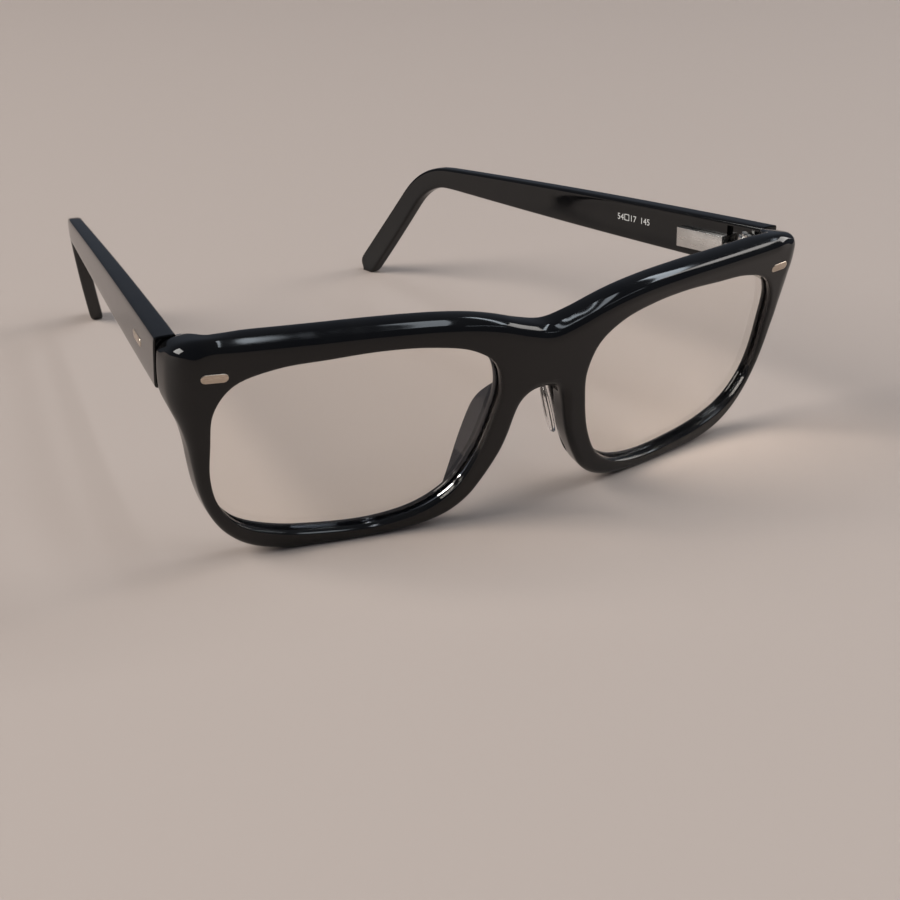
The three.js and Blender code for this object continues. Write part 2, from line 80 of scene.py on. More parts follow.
def bow(x):
    """How far back the front's face is at x."""
    reach = abs(x)
    curved = min(reach, BOW_HALF_WIDTH)
    return curved ** 2 / (2 * BOW_RADIUS) + (reach - curved) * BOW_HALF_WIDTH / BOW_RADIUS


def step(low, high, value):
    """0 below low, 1 above high, and a smooth rise between them."""
    share = min(1.0, max(0.0, (value - low) / (high - low)))
    return share * share * (3 - 2 * share)


def smooth_loop(points, steps):
    """A closed smooth line through the points, with steps places from each to the next."""
    count = len(points)
    loop = []
    for i in range(count):
        a, b, c, d = (Vector(points[(i + k) % count]) for k in (-1, 0, 1, 2))
        times = [0.0]
        for start, end in ((a, b), (b, c), (c, d)):
            times.append(times[-1] + math.sqrt((end - start).length))
        for k in range(steps):
            t = times[1] + (times[2] - times[1]) * k / steps
            ab = a.lerp(b, (t - times[0]) / (times[1] - times[0]))
            bc = b.lerp(c, (t - times[1]) / (times[2] - times[1]))
            cd = c.lerp(d, (t - times[2]) / (times[3] - times[2]))
            abc = ab.lerp(bc, (t - times[0]) / (times[2] - times[0]))
            bcd = bc.lerp(cd, (t - times[1]) / (times[3] - times[1]))
            loop.append(abc.lerp(bcd, (t - times[1]) / (times[2] - times[1])))
    return loop


def walked(line, count):
    """Places evenly spaced along an open line, with both its ends."""
    lengths = [0.0]
    for a, b in zip(line, line[1:]):
        lengths.append(lengths[-1] + (b - a).length)
    places, k = [], 0
    for i in range(count):
        wanted = lengths[-1] * i / (count - 1)
        while k < len(line) - 2 and lengths[k + 1] < wanted:
            k += 1
        places.append(line[k].lerp(line[k + 1], (wanted - lengths[k]) / (lengths[k + 1] - lengths[k])))
    return places


def pick(piece):
    """Makes this the only selected piece."""
    bpy.ops.object.select_all(action="DESELECT")
    piece.select_set(True)
    bpy.context.view_layer.objects.active = piece


def apply_all(piece):
    """Applies a piece's modifiers, first to last."""
    pick(piece)
    for modifier in list(piece.modifiers):
        bpy.ops.object.modifier_apply(modifier=modifier.name)


def place_ring(piece, before, after):
    """Moves the selected ring of points from its old places to its new ones."""
    mesh = bmesh.from_edit_mesh(piece.data)
    ring = [vertex for vertex in mesh.verts if vertex.select]
    tree = KDTree(len(ring))
    for number, vertex in enumerate(ring):
        tree.insert(vertex.co, number)
    tree.balance()
    moves = [(ring[tree.find(old)[1]], new) for old, new in zip(before, after)]
    for vertex, new in moves:
        vertex.co = new
    bmesh.update_edit_mesh(piece.data)


def lofted(name, rings, caps=True):
    """Starts from a circle and extrudes it from ring to ring; the ends are closed."""
    rings = [[Vector(place) for place in ring] for ring in rings]
    bpy.ops.object.select_all(action="DESELECT")
    bpy.ops.mesh.primitive_circle_add(vertices=len(rings[0]), radius=1)
    piece = bpy.context.object
    piece.name = name
    for vertex, place in zip(piece.data.vertices, rings[0]):
        vertex.co = place
    bpy.ops.object.mode_set(mode="EDIT")
    bpy.ops.mesh.select_mode(type="VERT")
    bpy.ops.mesh.select_all(action="SELECT")
    if caps:
        bpy.ops.mesh.edge_face_add()
        bpy.ops.mesh.select_all(action="SELECT")
    for before, after in zip(rings, rings[1:]):
        bpy.ops.mesh.extrude_region_move()
        place_ring(piece, before, after)
    bpy.ops.mesh.select_all(action="SELECT")
    if not caps:
        bpy.ops.mesh.remove_doubles(threshold=0.0005)
    bpy.ops.mesh.normals_make_consistent(inside=False)
    bpy.ops.object.mode_set(mode="OBJECT")
    return piece


def transformed(piece, matrix):
    """Moves a piece's points; a mirrored piece is turned right side out again."""
    piece.data.transform(matrix)
    if matrix.determinant() < 0:
        piece.data.flip_normals()
    piece.data.update()
    return piece


def subdivided(piece, levels):
    """Smooths a piece between its rings."""
    modifier = piece.modifiers.new("Subdivision", "SUBSURF")
    modifier.levels = modifier.render_levels = levels
    apply_all(piece)
    bpy.ops.object.shade_smooth()


def bowed(piece):
    """Gives a flat piece of the front its bow and its place."""
    for vertex in piece.data.vertices:
        vertex.co.y += bow(vertex.co.x)
        vertex.co = front_place @ vertex.co
    piece.data.update()


def rested(piece):
    """Flattens what would go below the table top, where the piece rests on it."""
    for vertex in piece.data.vertices:
        vertex.co.z = max(vertex.co.z, 0.0)
    piece.data.update()


def edge_round(x, z):
    """Radius of the front's outer edge: fullest at the end pieces, small below."""
    return (EDGE_RADIUS + BROW_FULLER * step(-6, 14, z)
            + END_FULLER * step(60, 66, x) * step(3, 10, z))


# Half the front, as pairs of places: one on the outer edge, one on the opening.
whole = outline_points + [(-x, z) for x, z in outline_points[-2:0:-1]]
outer = walked(smooth_loop(whole, 8)[:8 * (len(outline_points) - 1) + 1], OUTER_PLACES)
middle_line = walked([outer[-1], outer[0]], MIDDLE_PLACES)[1:-1]
rim_line = [p + Vector((LENS_CENTRE, 0)) for p in smooth_loop(opening_points, 24)][::-1]
nearest = []
for place in outer + middle_line:
    number = min(range(len(rim_line)), key=lambda i: (rim_line[i] - place).length)
    while nearest and number < nearest[-1] - len(rim_line) / 2:
        number += len(rim_line)
    nearest.append(float(number))
for _ in range(60):
    ends = [nearest[-1] - len(rim_line)] + nearest + [nearest[0] + len(rim_line)]
    nearest = [(a + 2 * b + c) / 4 for a, b, c in zip(ends, ends[1:], ends[2:])]


def along(loop, number):
    """The place on a closed line at a number that needn't be whole."""
    whole_part = math.floor(number)
    return loop[whole_part % len(loop)].lerp(loop[(whole_part + 1) % len(loop)], number - whole_part)


inner = [along(rim_line, number) for number in nearest]
rim_out = [(along(rim_line, number - 1) - along(rim_line, number + 1)).normalized().yx * Vector((1, -1))
           for number in nearest]


def outer_in(i):
    """Which way the front lies from its outer edge."""
    if i in (0, len(outer) - 1):
        return Vector((0, -1 if i == 0 else 1))
    square = (outer[i + 1] - outer[i - 1]).normalized().yx * Vector((1, -1))
    across = (inner[i] - outer[i]).normalized()
    corner = 0.8 * step(57, 63, outer[i].x) * step(10, 17, outer[i].y)
    return square.lerp(across, corner).normalized()


def end_share(x, z):
    """1 on the end piece, 0 elsewhere."""
    return step(60.9, 62.5, x) * step(8.2, 9.8, z)


def back_of(i):
    """How deep the front is at its outer edge."""
    x, z = outer[i]
    depth = RIM_DEPTH + BROW_EXTRA * step(8, 16, z)
    return depth + end_share(x, z) * (SEAM - bow(x) - depth)


def placed(point, depth):
    """The brow and the end pieces slope down towards the back, to the arms' height at the seam."""
    x, z = point
    y = bow(x) + depth
    high = step(17, 21, z)
    z -= 0.3 * high * (1 - step(56, 61, x)) * min(1.5, max(0.0, depth - 4))
    return (x, depth, z - 0.34 * high * step(54, 63, x) * max(0.0, y - 10.8))


def outer_ring(inset, depth):
    """A ring given by how far in from the outer edge, and how far back it is."""
    ring = [placed(outer[i] + outer_in(i) * inset(i), depth(i)) for i in range(len(outer))]
    top, bottom = Vector(ring[0]), Vector(ring[-1])
    count = len(middle_line)
    return ring + [tuple(bottom.lerp(top, (k + 1) / (count + 1))) for k in range(count)]


def inner_ring(inset, depth):
    """A ring given by how far out from the opening, and how far back it is."""
    return [(p.x + n.x * inset, depth, p.y + n.y * inset) for p, n in zip(inner, rim_out)]


def between(ring, other, share):
    """A ring part of the way from one ring to another."""
    return [tuple(Vector(a).lerp(Vector(b), share)) for a, b in zip(ring, other)]


def end_inner(ring, depth):
    """The inner side of the end piece, or the ring as it was beside it."""
    moved = []
    for i, place in enumerate(ring):
        share = end_share(*outer[i]) if i < len(outer) else 0
        if share:
            x, z = outer[i]
            height = min(max(z, END_BOTTOM), END_TOP) - 0.3 * max(0.0, 67 - x) * step(19, 21, z)
            place = tuple(Vector(place).lerp(Vector((END_INNER, depth(i), height)), share))
        moved.append(place)
    return moved


def radius_at(i):
    return edge_round(*outer[i])


# From the front of the opening, over the face and its rounded shoulder.
face_edge = inner_ring(OPENING_EDGE, 0)
shoulder = outer_ring(radius_at, lambda i: 0.0)
rings = [inner_ring(0, GROOVE_FRONT - 0.1), inner_ring(0, 0.6), inner_ring(0.08, 0.2),
         inner_ring(0.35, 0.03), face_edge]
rings += [between(face_edge, shoulder, share) for share in (0.2, 0.5, 0.8)] + [shoulder]
for turn in (0.125, 0.25, 0.375, 0.5, 0.625, 0.75, 0.875, 1.0):
    rings.append(outer_ring(lambda i: radius_at(i) * (1 - math.sin(turn * math.pi / 2)),
                            lambda i: radius_at(i) * (1 - math.cos(turn * math.pi / 2))))
# Down the outer edge, across the back and the end pieces' inner sides.
back_edge = outer_ring(lambda i: BACK_EDGE, back_of)
back_rim = inner_ring(OPENING_EDGE, RIM_DEPTH)
rings += [outer_ring(lambda i: 0.0, lambda i: 0.5 * (radius_at(i) + back_of(i) - BACK_EDGE)),
          outer_ring(lambda i: 0.0, lambda i: back_of(i) - BACK_EDGE),
          outer_ring(lambda i: 0.12, lambda i: back_of(i) - 0.15), back_edge]
rings += [end_inner(between(back_edge, back_rim, 0.3), back_of),
          end_inner(between(back_edge, back_rim, 0.35), lambda i: back_of(i) - 0.3),
          end_inner(between(back_edge, back_rim, 0.6), lambda i: RIM_DEPTH + 0.1), back_rim]
# Into the opening again, with the groove for the lens.
rings += [inner_ring(0.2, RIM_DEPTH - 0.12), inner_ring(0, RIM_DEPTH - 0.5),
          inner_ring(0, GROOVE_BACK + 0.1), inner_ring(0.06, GROOVE_BACK + 0.02),
          inner_ring(GROOVE_DEPTH - 0.05, GROOVE_BACK), inner_ring(GROOVE_DEPTH, GROOVE_BACK - 0.1),
          inner_ring(GROOVE_DEPTH, GROOVE_FRONT + 0.1), inner_ring(GROOVE_DEPTH - 0.05, GROOVE_FRONT),
          inner_ring(0.06, GROOVE_FRONT - 0.02), rings[0]]
front = lofted("front", rings, caps=False)
# The loop's closing wall at the bridge's middle goes, and the other half is mirrored on.
pick(front)
bpy.ops.object.mode_set(mode="EDIT")
bpy.ops.mesh.select_mode(type="FACE")
mesh = bmesh.from_edit_mesh(front.data)
for face in mesh.faces:
    face.select_set(all(abs(vertex.co.x) < 0.001 for vertex in face.verts))
bmesh.update_edit_mesh(front.data)
bpy.ops.mesh.delete(type="FACE")
bpy.ops.object.mode_set(mode="OBJECT")
mirror = front.modifiers.new("Mirror", "MIRROR")
mirror.use_mirror_merge = True
mirror.merge_threshold = 0.001
apply_all(front)
subdivided(front, 1)
bowed(front)
rested(front)


class Finish:
    """A material whose shader sockets are set or driven one at a time."""

    def __init__(self, name, **sockets):
        self.material = bpy.data.materials.new(name)
        self.material.use_nodes = True
        self.nodes = self.material.node_tree.nodes
        self.links = self.material.node_tree.links
        self.shader = self.nodes["Principled BSDF"]
        for socket, value in sockets.items():
            self.shader.inputs[socket.replace("_", " ")].default_value = value

    def pattern(self, scale, detail=4, stretch=(1, 1, 1)):
        """Soft noise in the piece's own coordinates; scale is in cycles per metre."""
        place = self.nodes.new("ShaderNodeTexCoord")
        mapping = self.nodes.new("ShaderNodeMapping")
        mapping.inputs["Scale"].default_value = stretch
        noise = self.nodes.new("ShaderNodeTexNoise")
        noise.inputs["Scale"].default_value = scale
        noise.inputs["Detail"].default_value = detail
        self.links.new(place.outputs["Object"], mapping.inputs["Vector"])
        self.links.new(mapping.outputs["Vector"], noise.inputs["Vector"])
        return noise.outputs["Fac"]

    def ranged(self, source, low, high, start=0.3, end=0.7):
        """The part of a pattern from start to end, spread over low to high."""
        spread = self.nodes.new("ShaderNodeMapRange")
        for socket, value in (("From Min", start), ("From Max", end), ("To Min", low), ("To Max", high)):
            spread.inputs[socket].default_value = value
        self.links.new(source, spread.inputs["Value"])
        return spread.outputs["Result"]

    def rough(self, source, low, high):
        """Roughness that follows a pattern."""
        self.links.new(self.ranged(source, low, high), self.shader.inputs["Roughness"])

    def shades(self, source, *colours):
        """Two colours, mixed by a pattern."""
        ramp = self.nodes.new("ShaderNodeValToRGB")
        for number, colour in enumerate(colours):
            ramp.color_ramp.elements[number].color = (*colour, 1)
            ramp.color_ramp.elements[number].position = (0.35, 0.7)[number]
        self.links.new(source, ramp.inputs["Fac"])
        self.links.new(ramp.outputs["Color"], self.shader.inputs["Base Color"])

    def bumps(self, source, strength, distance):
        """Low relief that follows a pattern; distance is in metres."""
        bump = self.nodes.new("ShaderNodeBump")
        bump.inputs["Strength"].default_value = strength
        bump.inputs["Distance"].default_value = distance
        self.links.new(source, bump.inputs["Height"])
        self.links.new(bump.outputs["Normal"], self.shader.inputs["Normal"])


acetate = Finish("black_acetate", IOR=1.49, Specular_IOR_Level=0.38)
acetate.shades(acetate.pattern(120), (0.0025, 0.0025, 0.003), (0.005, 0.0048, 0.0048))
acetate.rough(acetate.pattern(260, 6), 0.045, 0.11)
acetate.bumps(acetate.pattern(900, 2), 0.05, 0.00002)


def done(piece, body, slot, finish, *nodes):
    """Hands a finished piece to the body that it moves with."""
    piece.data.materials.clear()
    piece.data.materials.append(finish.material)
    piece.data.name = piece.name
    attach(piece, body)
    if nodes:
        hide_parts(*nodes)


done(front, "front", "acetate", acetate, "front_frame")

# ---- the lenses -----------------------------------------------------------
# Two clear resin lenses, cut to the openings and snapped into the groove in
# the rims. A thin coating turns back some blue light and leaves a faint warm
# tint.
LENS_THICKNESS = 2.0
LENS_FACE = 1.5                 # behind the front's face, at the rim
LENS_DOME = 0.7                 # how far its middle stands forward of that
LENS_LIP = 0.8                  # how far it goes into the groove
LENS_EDGE_ROUND = 0.15


def moved_out(loop, distance):
    """A closed line, drawn again that far outside itself."""
    count = len(loop)
    return [loop[i] + Vector((1, -1)) * distance * (loop[(i + 1) % count] - loop[i - 1]).normalized().yx
            for i in range(count)]


lens_edge = moved_out(smooth_loop(opening_points, 6), LENS_LIP)


def lens_place(point, share, depth):
    """A point of the lens: share is 1 at its edge, depth is how far behind its face."""
    x, z = point * share
    dome = LENS_DOME * (1 - share ** 2)
    return (x + LENS_CENTRE, LENS_FACE - dome + depth, z)


clear_lens = Finish("lens_clear", Base_Color=(0.985, 0.955, 0.92, 1), IOR=1.5,
                    Transmission_Weight=1.0, Specular_Tint=(0.78, 0.84, 1.0, 1))
clear_lens.rough(clear_lens.pattern(90, 5), 0.0, 0.012)
lets_light_through = clear_lens.nodes.new("ShaderNodeMixShader")
ray = clear_lens.nodes.new("ShaderNodeLightPath")
open_air = clear_lens.nodes.new("ShaderNodeBsdfTransparent")
open_air.inputs["Color"].default_value = (0.94, 0.91, 0.88, 1)
output = clear_lens.nodes["Material Output"]
clear_lens.links.new(ray.outputs["Is Shadow Ray"], lets_light_through.inputs["Fac"])
clear_lens.links.new(clear_lens.shader.outputs["BSDF"], lets_light_through.inputs[1])
clear_lens.links.new(open_air.outputs["BSDF"], lets_light_through.inputs[2])
clear_lens.links.new(lets_light_through.outputs["Shader"], output.inputs["Surface"])

shares = (0.06, 0.3, 0.5, 0.68, 0.82, 0.92, 0.975, 1.0)
for side, name in ((1, "left"), (-1, "right")):
    face = [[lens_place(p, s, 0) for p in lens_edge] for s in shares]
    edge = [[lens_place(p, 1.0, depth) for p in lens_edge]
            for depth in (LENS_EDGE_ROUND, LENS_THICKNESS / 2, LENS_THICKNESS - LENS_EDGE_ROUND)]
    back = [[lens_place(p, s, LENS_THICKNESS) for p in lens_edge] for s in reversed(shares)]
    lens = lofted(f"lens_{name}_clear", face + edge + back)
    if side < 0:
        transformed(lens, Matrix.Scale(-1, 4, (1, 0, 0)))
    bowed(lens)
    subdivided(lens, 1)
    done(lens, "front", "lens", clear_lens, f"lens_{name}")

# ---- the nose pads --------------------------------------------------------
# A wing of the same acetate behind each rim, shaped to lie along the nose and
# glued to the front. It thins towards its back edge.
PAD_TOP = Vector((3.9, 3.5))    # x and z of the pad's top, at the back of the rim
PAD_START = 4.75
PAD_SPLAY = 0.42                # outwards for each millimetre back
PAD_SLOPE = 0.38                # outwards for each millimetre down
PAD_WIDTH = 3.0                 # where it meets the rim
PAD_EDGE = 1.0                  # its back edge below
# Its back edge, from the top down, as height and depth.
pad_back = [(7.6, 6.0), (6.4, 6.6), (5.0, 7.8), (3.0, 9.2), (1.0, 10.1), (-1.5, 10.6), (-5.0, 10.9),
            (-8.5, 10.6), (-11.5, 10.1), (-14.2, 9.2), (-16.0, 7.9), (-17.2, 6.6)]


def pad_ring(height, back):
    """The pad's level section: it flares into the rim and has a round back edge."""
    inner = PAD_TOP.x + (PAD_TOP.y - height) * PAD_SLOPE + 0.12 * max(0.0, -12 - height) ** 2
    length = back - PAD_START
    edge = PAD_EDGE + (PAD_WIDTH - PAD_EDGE) * step(-7, 2, height)
    section = [(0, 0), (0, 0.35), (0, 0.7), (0.04 * edge, 0.9), (0.4 * edge, 1.0), (0.85 * edge, 0.95),
               (edge, 0.8), (0.6 * edge + 0.4 * PAD_WIDTH, 0.4), (PAD_WIDTH, 0), (2, -0.02), (1.3, -0.02),
               (0.6, -0.02)]
    return [(inner + across + share * length * PAD_SPLAY, PAD_START + share * length, height)
            for across, share in section]


def pad_end(ring, share, drop):
    """A smaller ring beyond one end of the pad."""
    middle = sum((Vector(place) for place in ring), Vector()) / len(ring)
    return [middle.lerp(Vector(place), share) + Vector((0, 0, drop)) for place in ring]


for side, name in ((1, "left"), (-1, "right")):
    rings = [pad_ring(height, back) for height, back in pad_back]
    rings = [pad_end(rings[0], 0.5, 0.35)] + rings + [pad_end(rings[-1], 0.5, -0.3)]
    pad = lofted(f"pad_{name}", rings)
    transformed(pad, front_place @ Matrix.Scale(side, 4, (1, 0, 0)))
    subdivided(pad, 2)
    done(pad, "front", "acetate", acetate, f"nose_pad_{name}")

# ---- the nose cushions ----------------------------------------------------
# An oval of clear silicone on each pad, where it touches the nose. It is
# moulded with a domed face and a soft rim, and is held by its own tack.
CUSHION_MIDDLE = (7.7, -4.9)    # y and z
CUSHION_HALF_LENGTH, CUSHION_HALF_WIDTH = 6.2, 2.8
CUSHION_GAP = 0.1               # the tack between it and the pad
# Share of its outline, and height above the pad, from its flat base to its crown.
cushion_profile = [(0.3, 0.0), (0.9, 0.0), (0.98, 0.15), (1.0, 0.45), (0.97, 0.85), (0.86, 1.2),
                   (0.6, 1.45), (0.25, 1.55)]
silicone = Finish("clear_silicone", Base_Color=(0.97, 0.96, 0.95, 1), IOR=1.41, Transmission_Weight=1.0)
silicone.rough(silicone.pattern(700, 3), 0.02, 0.07)

down = Vector((PAD_SLOPE, 0, -1)).normalized()
backwards = Vector((PAD_SPLAY, 1, 0)).normalized()
nosewards = backwards.cross(down).normalized()
across = nosewards.cross(down)
y, z = CUSHION_MIDDLE
x = PAD_TOP.x + (PAD_TOP.y - z) * PAD_SLOPE + (y - 5.1) * PAD_SPLAY
middle = Vector((x, y, z)) + nosewards * CUSHION_GAP


def cushion_ring(share, height):
    """An oval on the pad's face, or above it."""
    return [middle + nosewards * height + down * (CUSHION_HALF_LENGTH * share * math.cos(turn))
            + across * (CUSHION_HALF_WIDTH * share * math.sin(turn))
            for turn in (math.tau * i / 24 for i in range(24))]


for side, name in ((1, "left"), (-1, "right")):
    cushion = lofted(f"cushion_{name}", [cushion_ring(share, height) for share, height in cushion_profile])
    transformed(cushion, front_place @ Matrix.Scale(side, 4, (1, 0, 0)))
    subdivided(cushion, 2)
    done(cushion, "front", "silicone", silicone, f"nose_cushion_{name}")

# ---- the inlays in the front ----------------------------------------------
# A short bar of plated metal let into the face of each end piece, flush but
# for a hair, with its edges broken.
BAR_LENGTH, BAR_HEIGHT, BAR_THICKNESS = 4.6, 1.7, 0.8
BAR_MIDDLE = (61.2, 16)         # x and z
BAR_PROUD = 0.09                # how far it stands out of the acetate
BROKEN_EDGE = 0.12
champagne = Finish("champagne_plate", Metallic=1.0)
champagne.shades(champagne.pattern(300), (0.50, 0.42, 0.34), (0.62, 0.53, 0.44))
champagne.rough(champagne.pattern(500, 5, (0.15, 1, 4)), 0.24, 0.38)


def inlay(name, length, height, thickness):
    """A round-ended bar, flat in x and z with its face towards -y."""
    half = (length - height) / 2
    outline = []
    for end in (1, -1):
        for i in range(13):
            turn = math.pi * (i / 12 - 0.5)
            outline.append((end * (half + math.cos(turn) * height / 2), end * math.sin(turn) * height / 2))
    inset = 1 - BROKEN_EDGE / height
    face = [(x * (1 - BROKEN_EDGE / length), 0, z * inset) for x, z in outline]
    sides = [[(x, depth, z) for x, z in outline] for depth in (0.07, thickness)]
    piece = lofted(name, [face] + sides)
    pick(piece)
    bpy.ops.object.shade_smooth_by_angle(angle=math.radians(40))
    return piece


for side, name in ((1, "left"), (-1, "right")):
    bar = inlay(f"front_bar_{name}", BAR_LENGTH, BAR_HEIGHT, BAR_THICKNESS)
    transformed(bar, Matrix.Translation((side * BAR_MIDDLE[0], -BAR_PROUD, BAR_MIDDLE[1])))
    bowed(bar)
    done(bar, "front", "champagne", champagne, f"front_inlay_{name}")

# ---- the hinges -----------------------------------------------------------
# Satin steel. A leaf with two knuckles is set into each end piece, and an
# eyelet on the sprung rod goes between them, all held by one slotted screw.
steel = Finish("satin_steel", Metallic=1.0)
steel.shades(steel.pattern(400), (0.60, 0.59, 0.57), (0.66, 0.65, 0.63))
steel.rough(steel.pattern(900, 5, (1, 0.08, 1)), 0.24, 0.32)
bright_steel = Finish("spring_steel", Metallic=1.0)
bright_steel.shades(bright_steel.pattern(500), (0.42, 0.43, 0.45), (0.55, 0.56, 0.58))
bright_steel.rough(bright_steel.pattern(1200, 3), 0.16, 0.26)
HOUSING_EDGE, LEAF_EDGE = 0.0003, 0.00015       # widths of their broken edges, in metres


def copy_of(node, name):
    """A merged copy of a CAD node, to refine."""
    piece = bpy.data.objects.new(name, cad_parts[node].data.copy())
    bpy.context.scene.collection.objects.link(piece)
    pick(piece)
    bpy.ops.object.mode_set(mode="EDIT")
    bpy.ops.mesh.select_all(action="SELECT")
    bpy.ops.mesh.remove_doubles(threshold=2e-6)
    bpy.ops.mesh.dissolve_limited(angle_limit=math.radians(2))
    bpy.ops.object.mode_set(mode="OBJECT")
    return piece


def broken_edges(piece, width):
    """Rounds a machined piece's sharp edges."""
    modifier = piece.modifiers.new("Edges", "BEVEL")
    modifier.width = width
    modifier.segments = 3
    modifier.limit_method = "ANGLE"
    modifier.angle_limit = math.radians(50)
    apply_all(piece)
    bpy.ops.object.shade_smooth_by_angle(angle=math.radians(40))


for name in ("left", "right"):
    housing = copy_of(f"spring_housing_{name}", f"housing_{name}")
    broken_edges(housing, HOUSING_EDGE)
    done(housing, f"{name}_temple", "satin_steel", steel, f"spring_housing_{name}")
    leaf = copy_of(f"front_hinge_{name}", f"hinge_leaf_{name}")
    broken_edges(leaf, LEAF_EDGE)
    done(leaf, "front", "satin_steel", steel, f"front_hinge_{name}")

# The screws, rods, collars, springs and core wires are the CAD's own, in the same steels.
small_part_finish = {"hinge_screw": steel, "hinge_slider": steel, "spring_stop": steel,
                     "flex_spring": bright_steel, "core_wire": bright_steel}
for node, cad_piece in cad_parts.items():
    finish = small_part_finish.get(node.rsplit("_", 1)[0])
    if finish:
        cad_piece.data.materials.clear()
        cad_piece.data.materials.append(finish.material)

# ---- the side arms --------------------------------------------------------
# Black acetate again, thicker at the hinge, heated and bent down over the ear.
# A steel wire runs inside each one. The pockets for the hinge are milled
# in the inner face.
TOE_IN = math.radians(9.81)
PIVOT = Vector((62.2, 18.2 - FACE_TO_MIDDLE, 37.8))
ARM_OUTER = 5.25                # outer face, outboard of the hinge pin
ARM_THICKNESS = 4.2
TIP_THICKNESS = 3.2
ARM_SLOPE = math.radians(4.44) + LEAN
BEND_START = 97.9
BEND_RADIUS = 16
BEND = math.radians(53.9)
HOOK = 27.4                     # the straight part beyond the bend
HOOK_TOE_IN = 6.2               # how far the tip curves in
FRONT_HEIGHT, BEND_HEIGHT, HOOK_HEIGHT = 9.8, 5.1, 5.8
MIDDLE_FULLER = 0.8             # taller at mid-length than a straight taper would be
HINGE_RISE = 0.5                # from the hinge pin's middle to the arm's
ARM_EDGE = 0.75                 # radius of the arm's long edges
SEAM_GAP = 0.16
TIP_ROUND = 3.0                 # length over which the tip gets thinner
# Pockets in the inner face, each by two corners: across, along and up from the pin.
HINGE_POCKET = (-4, -8, -3.8), (2.15, 5.3, 4.3)
HOUSING_POCKET = (-4, 5.2, -2.15), (2.4, 17.95, 2.15)
hook_start = BEND_START + BEND_RADIUS * BEND
arm_end = hook_start + HOOK
arm_place = (Matrix.Scale(MILLIMETRE, 4) @ Matrix.Translation(PIVOT)
             @ Matrix.Rotation(TOE_IN, 4, "Z") @ Matrix.Rotation(LEAN, 4, "X"))
arm_slope = Matrix.Rotation(-ARM_SLOPE, 4, "X")
to_front = front_place.inverted() @ arm_place


def arm_height(distance):
    """Half the arm's height: it narrows to the bend and widens again to a round tip."""
    share = min(1.0, distance / BEND_START)
    height = FRONT_HEIGHT + (BEND_HEIGHT - FRONT_HEIGHT) * share
    height += MIDDLE_FULLER * math.sin(math.pi * share)
    height += (HOOK_HEIGHT - BEND_HEIGHT) * step(BEND_START, arm_end - 6, distance)
    radius = HOOK_HEIGHT / 2
    into_tip = max(0.0, distance - (arm_end - radius)) / radius
    return height / 2 * math.sqrt(1 - min(0.999, into_tip ** 2))


def on_arm(across, distance, height):
    """A place on the arm: across is from the hinge pin outwards, distance along it."""
    straight = min(distance, BEND_START)
    turned = min(max(0.0, distance - BEND_START), BEND_RADIUS * BEND) / BEND_RADIUS
    heading = ARM_SLOPE + turned
    beyond = max(0.0, distance - hook_start)
    share = min(1.0, max(0.0, distance / BEND_START))
    thickness = 1 - (1 - TIP_THICKNESS / ARM_THICKNESS) * share
    into_hook = max(0.0, distance - BEND_START) / (arm_end - BEND_START)
    return Vector((
        ARM_OUTER - (ARM_OUTER - across) * thickness - HOOK_TOE_IN * into_hook ** 1.3,
        straight * math.cos(ARM_SLOPE) + beyond * math.cos(heading)
        + BEND_RADIUS * (math.sin(heading) - math.sin(ARM_SLOPE)) + height * math.sin(heading),
        HINGE_RISE - straight * math.sin(ARM_SLOPE) - beyond * math.sin(heading)
        - BEND_RADIUS * (math.cos(ARM_SLOPE) - math.cos(heading)) + height * math.cos(heading)))


def seam_distance(across, height):
    """Where the arm's butt end meets the seam."""
    near, far = (to_front @ on_arm(across, d, height) for d in (-4, 0))
    return -4 + 4 * (SEAM + SEAM_GAP - near.y) / (far.y - near.y)


def arm_ring(distance, squeeze=1.0):
    """The arm's section: a tall rectangle with rounded edges."""
    half = arm_height(distance)
    soft = min(ARM_EDGE, half * 0.6)
    inside, outside = ARM_OUTER - ARM_THICKNESS, ARM_OUTER
    middle = (inside + outside) / 2
    ring = []
    for sx, sz, face_middle in ((1, 1, (middle, half)), (-1, 1, (inside, 0)),
                                (-1, -1, (middle, -half)), (1, -1, (outside, 0))):
        corner = [(ARM_THICKNESS / 2, half - soft), (ARM_THICKNESS / 2 - 0.25 * soft, half - 0.25 * soft),
                  (ARM_THICKNESS / 2 - soft, half)]
        if sx * sz < 0:
            corner.reverse()
        ring += [(middle + sx * x * squeeze, sz * z) for x, z in corner]
        ring.append(face_middle)
    return ring


def arm_rings():
    """The arm's sections, from its butt end at the seam to its tip."""
    rings = []
    for step_in in (0.0, 0.3, 1.2):
        rings.append([on_arm(a, seam_distance(a, h) + step_in, h) for a, h in arm_ring(0.0)])
    stations = [4, 10, 20, 32, 46, 60, 75, 88]
    stations += [BEND_START + (arm_end - 4 - BEND_START) * i / 14 for i in range(15)]
    stations += [arm_end - 3.8 + 3.8 * math.sin(math.pi / 2 * i / 6) for i in range(1, 7)]
    for distance in stations:
        into_tip = max(0.0, distance - (arm_end - TIP_ROUND)) / TIP_ROUND
        squeeze = math.sqrt(1 - 0.8 * into_tip ** 2)
        rings.append([on_arm(a, distance, h) for a, h in arm_ring(distance, squeeze=squeeze)])
    return rings


